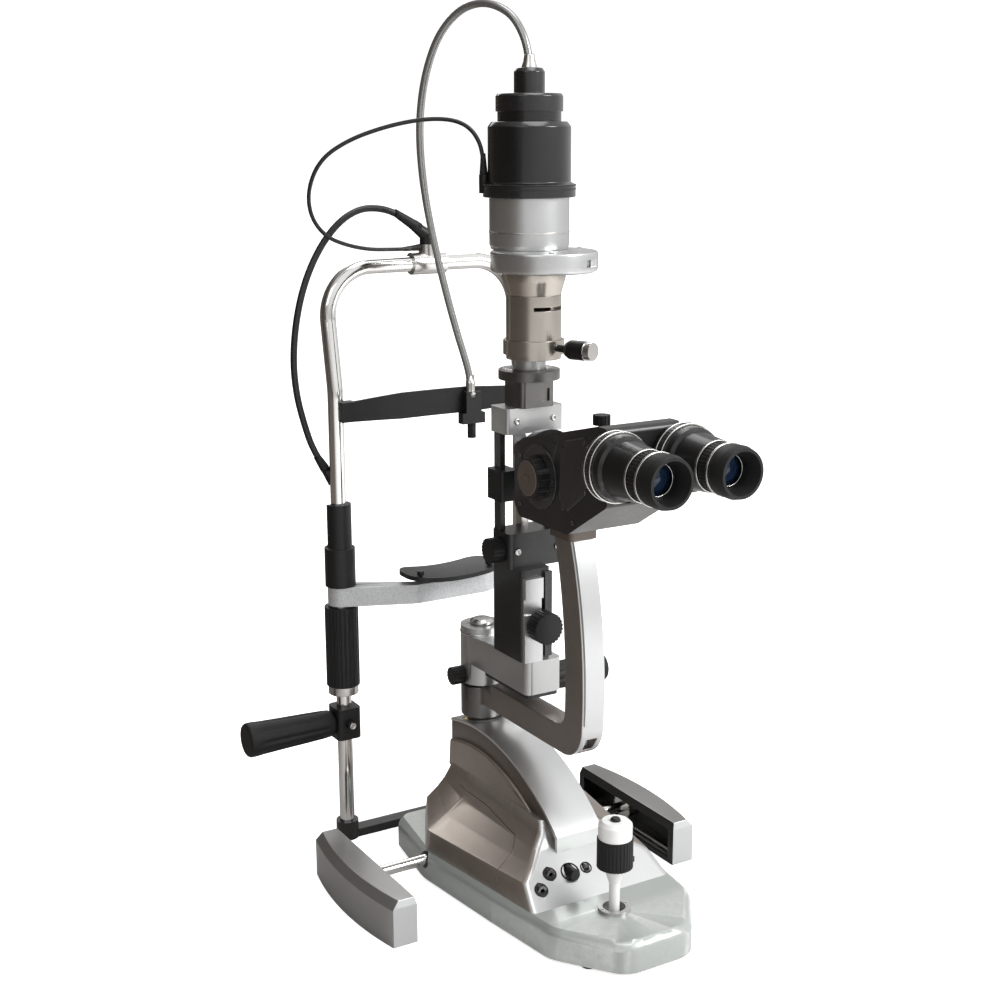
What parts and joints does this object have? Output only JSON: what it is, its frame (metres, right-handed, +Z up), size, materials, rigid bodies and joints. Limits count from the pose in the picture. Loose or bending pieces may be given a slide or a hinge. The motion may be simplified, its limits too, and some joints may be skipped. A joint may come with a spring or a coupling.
{
  "type": "slit lamp",
  "caption": "table-top eye microscope with a swinging lamp tower, a joystick base on rails and a headrest with a chin cup",
  "frame": {"origin": "on the table, under the middle of the whole instrument's box without its cables", "axes": "+Z up, +Y towards the patient, +X to the doctor's right"},
  "size_m": [0.389, 0.4128, 0.7591],
  "materials": {
    "chrome_tube": "polished",
    "black_paint": "satin",
    "black_plastic": "matte",
    "black_rubber": "matte",
    "taupe_paint": "satin",
    "silver_paint": "satin metallic",
    "grey_plastic": "satin",
    "light_grey": "satin",
    "white_plastic": "satin",
    "brushed_metal": "brushed",
    "brass_bush": "satin",
    "lens_glass": "clear",
    "mirror_glass": "polished",
    "conduit_grey": "satin",
    "cable_black": "matte"
  },
  "bodies": {
    "headrest": {"frame_tube": "chrome_tube", "cross_bar": "black_paint", "clamp_screws": "brushed_metal", "forehead_band": "black_rubber", "post_clamps": "black_plastic", "handle_grips": "black_rubber", "chin_spindle": "brushed_metal", "cable_fittings": "brushed_metal", "gear_racks": "brushed_metal", "rail_covers": "grey_plastic", "lamp_conduit": "conduit_grey", "power_cable": "cable_black", "lamp_lead": "cable_black"},
    "chin_rest": {"chin_bar": "light_grey", "chin_cup": "black_plastic"},
    "chin_knob": {"chin_height_knob": "black_plastic"},
    "carriage": {"axle_rod": "chrome_tube"},
    "wheel_left": {"track_wheel_left": "brushed_metal"},
    "wheel_right": {"track_wheel_right": "brushed_metal"},
    "base": {"base_plate": "grey_plastic", "hump_housing": "taupe_paint", "saddle_cover": "silver_paint", "guide_bushes": "brass_bush", "base_fittings": "black_plastic"},
    "brightness": {"brightness_knob": "black_plastic"},
    "gimbal": {"joystick_gimbal": "brushed_metal"},
    "stick": {"joystick_stem": "white_plastic"},
    "grip": {"joystick_grip": "black_rubber"},
    "button": {"joystick_button": "black_plastic"},
    "lift": {"lift_column": "brushed_metal", "pivot_post": "brushed_metal"},
    "microscope": {"scope_arm": "taupe_paint", "arm_fittings": "silver_paint", "scope_body": "black_paint", "objective": "black_paint"},
    "drum": {"magnification_drum": "black_plastic"},
    "top_knob": {"breath_shield_knob": "black_plastic"},
    "ocular_left": {"prism_box_left": "black_paint"},
    "ocular_right": {"prism_box_right": "black_paint"},
    "eye_left": {"eyepiece_left": "black_rubber"},
    "eye_right": {"eyepiece_right": "black_rubber"},
    "lamp": {"lamp_arm": "light_grey", "tower_column": "black_paint", "tower_cross_blocks": "black_paint", "tower_bars": "black_paint", "mirror": "mirror_glass", "lens_block": "black_paint", "projection_lenses": "lens_glass", "projection_column": "taupe_paint", "dial_housing": "silver_paint", "condenser_barrel": "silver_paint", "lamp_socket": "white_plastic", "bulb": "lens_glass", "lamp_house": "black_paint", "lamp_cap": "black_paint"},
    "lock_knob": {"arm_lock_knob": "black_plastic"},
    "slit_width": {"slit_width_knob": "black_plastic"},
    "mirror_knob": {"mirror_lock_knob": "black_plastic"},
    "slit_turn": {"slit_lever": "black_plastic"},
    "aperture": {"aperture_dial": "brushed_metal"}
  },
  "joints": [
    {"name": "track_slide", "type": "slide", "parent": "headrest", "child": "carriage", "axis": [0, 1, 0], "range_m": [-0.075, 0.008], "deforming": ["lamp_conduit", "lamp_lead"]},
    {"name": "wheel_left_roll", "type": "hinge", "parent": "carriage", "child": "wheel_left", "pos_m": [-0.145, 0.0684, 0.02], "axis": [1, 0, 0], "range_deg": [-37, 344]},
    {"name": "wheel_right_roll", "type": "hinge", "parent": "carriage", "child": "wheel_right", "pos_m": [0.145, 0.0684, 0.02], "axis": [1, 0, 0], "range_deg": [-37, 344]},
    {"name": "cross_slide", "type": "slide", "parent": "carriage", "child": "base", "axis": [1, 0, 0], "range_m": [-0.053, 0.023]},
    {"name": "brightness_turn", "type": "hinge", "parent": "base", "child": "brightness", "pos_m": [-0.004, -0.0596, 0.045], "axis": [0, 1, 0], "range_deg": [0, 270]},
    {"name": "stick_tilt_y", "type": "hinge", "parent": "base", "child": "gimbal", "pos_m": [0.008, -0.1076, 0.019], "axis": [1, 0, 0], "range_deg": [-12, 12]},
    {"name": "stick_tilt_x", "type": "hinge", "parent": "gimbal", "child": "stick", "pos_m": [0.008, -0.1076, 0.019], "axis": [0, 1, 0], "range_deg": [-12, 12]},
    {"name": "grip_turn", "type": "hinge", "parent": "stick", "child": "grip", "pos_m": [0.008, -0.1076, 0.08], "axis": [0, 0, 1], "range_deg": [0, 541]},
    {"name": "top_button", "type": "slide", "parent": "stick", "child": "button", "axis": [0, 0, 1], "range_m": [-0.002, 0], "stiffness_N_per_m": 400, "springref_m": 0.0005},
    {"name": "lift", "type": "slide", "parent": "base", "child": "lift", "axis": [0, 0, 1], "range_m": [0, 0.03]},
    {"name": "microscope_swing", "type": "hinge", "parent": "lift", "child": "microscope", "pos_m": [0.015, 0.1194, 0.145], "axis": [0, 0, 1], "range_deg": [-60, 60]},
    {"name": "lamp_swing", "type": "hinge", "parent": "lift", "child": "lamp", "pos_m": [0.015, 0.1194, 0.19], "axis": [0, 0, 1], "range_deg": [-80, 80]},
    {"name": "lock_turn", "type": "hinge", "parent": "lamp", "child": "lock_knob", "pos_m": [-0.012, 0.1194, 0.167], "axis": [1, 0, 0], "range_deg": [0, 180]},
    {"name": "slit_width_turn", "type": "hinge", "parent": "lamp", "child": "slit_width", "pos_m": [0.01, 0.0034, 0.242], "axis": [0, 1, 0], "range_deg": [0, 270]},
    {"name": "mirror_lock_turn", "type": "hinge", "parent": "lamp", "child": "mirror_knob", "pos_m": [-0.019, 0.0394, 0.306], "axis": [1, 0, 0], "range_deg": [0, 180]},
    {"name": "slit_rotation", "type": "hinge", "parent": "lamp", "child": "slit_turn", "pos_m": [0.015, 0.0304, 0.48], "axis": [0, 0, 1], "range_deg": [-90, 90]},
    {"name": "aperture_turn", "type": "hinge", "parent": "lamp", "child": "aperture", "pos_m": [0.015, 0.0144, 0.551], "axis": [0, 0, 1], "continuous": true},
    {"name": "magnification_turn", "type": "hinge", "parent": "microscope", "child": "drum", "pos_m": [0.015, -0.0326, 0.384], "axis": [1, 0, 0], "continuous": true},
    {"name": "top_knob_turn", "type": "hinge", "parent": "microscope", "child": "top_knob", "pos_m": [0.011, -0.0766, 0.434], "axis": [0, 0, 1], "range_deg": [0, 360]},
    {"name": "ocular_right_swing", "type": "hinge", "parent": "microscope", "child": "ocular_right", "pos_m": [0.029, -0.1366, 0.388], "axis": [0, 1, 0], "range_deg": [-9, 20]},
    {"name": "ocular_left_swing", "type": "hinge", "parent": "microscope", "child": "ocular_left", "pos_m": [0.001, -0.1366, 0.388], "axis": [0, 1, 0], "range_deg": [-20, 9]},
    {"name": "dioptre_left", "type": "hinge", "parent": "ocular_left", "child": "eye_left", "pos_m": [-0.017, -0.1866, 0.411], "axis": [0, 1, 0], "range_deg": [-120, 120]},
    {"name": "dioptre_right", "type": "hinge", "parent": "ocular_right", "child": "eye_right", "pos_m": [0.047, -0.1866, 0.411], "axis": [0, 1, 0], "range_deg": [-120, 120]},
    {"name": "chin_height", "type": "slide", "parent": "headrest", "child": "chin_rest", "axis": [0, 0, 1], "range_m": [0, 0.05]},
    {"name": "chin_knob_turn", "type": "hinge", "parent": "headrest", "child": "chin_knob", "pos_m": [-0.0965, 0.1854, 0.19], "axis": [0, 0, 1], "range_deg": [0, 901]}
  ],
  "couplings": [
    {"joint": "wheel_left_roll", "follows": "track_slide", "rad_per_m": -80},
    {"joint": "wheel_right_roll", "follows": "track_slide", "rad_per_m": -80},
    {"joint": "grip_turn", "follows": "lift", "rad_per_m": 314.16},
    {"joint": "ocular_left_swing", "follows": "ocular_right_swing", "ratio": -1},
    {"joint": "chin_knob_turn", "follows": "chin_height", "rad_per_m": 314.29}
  ]
}
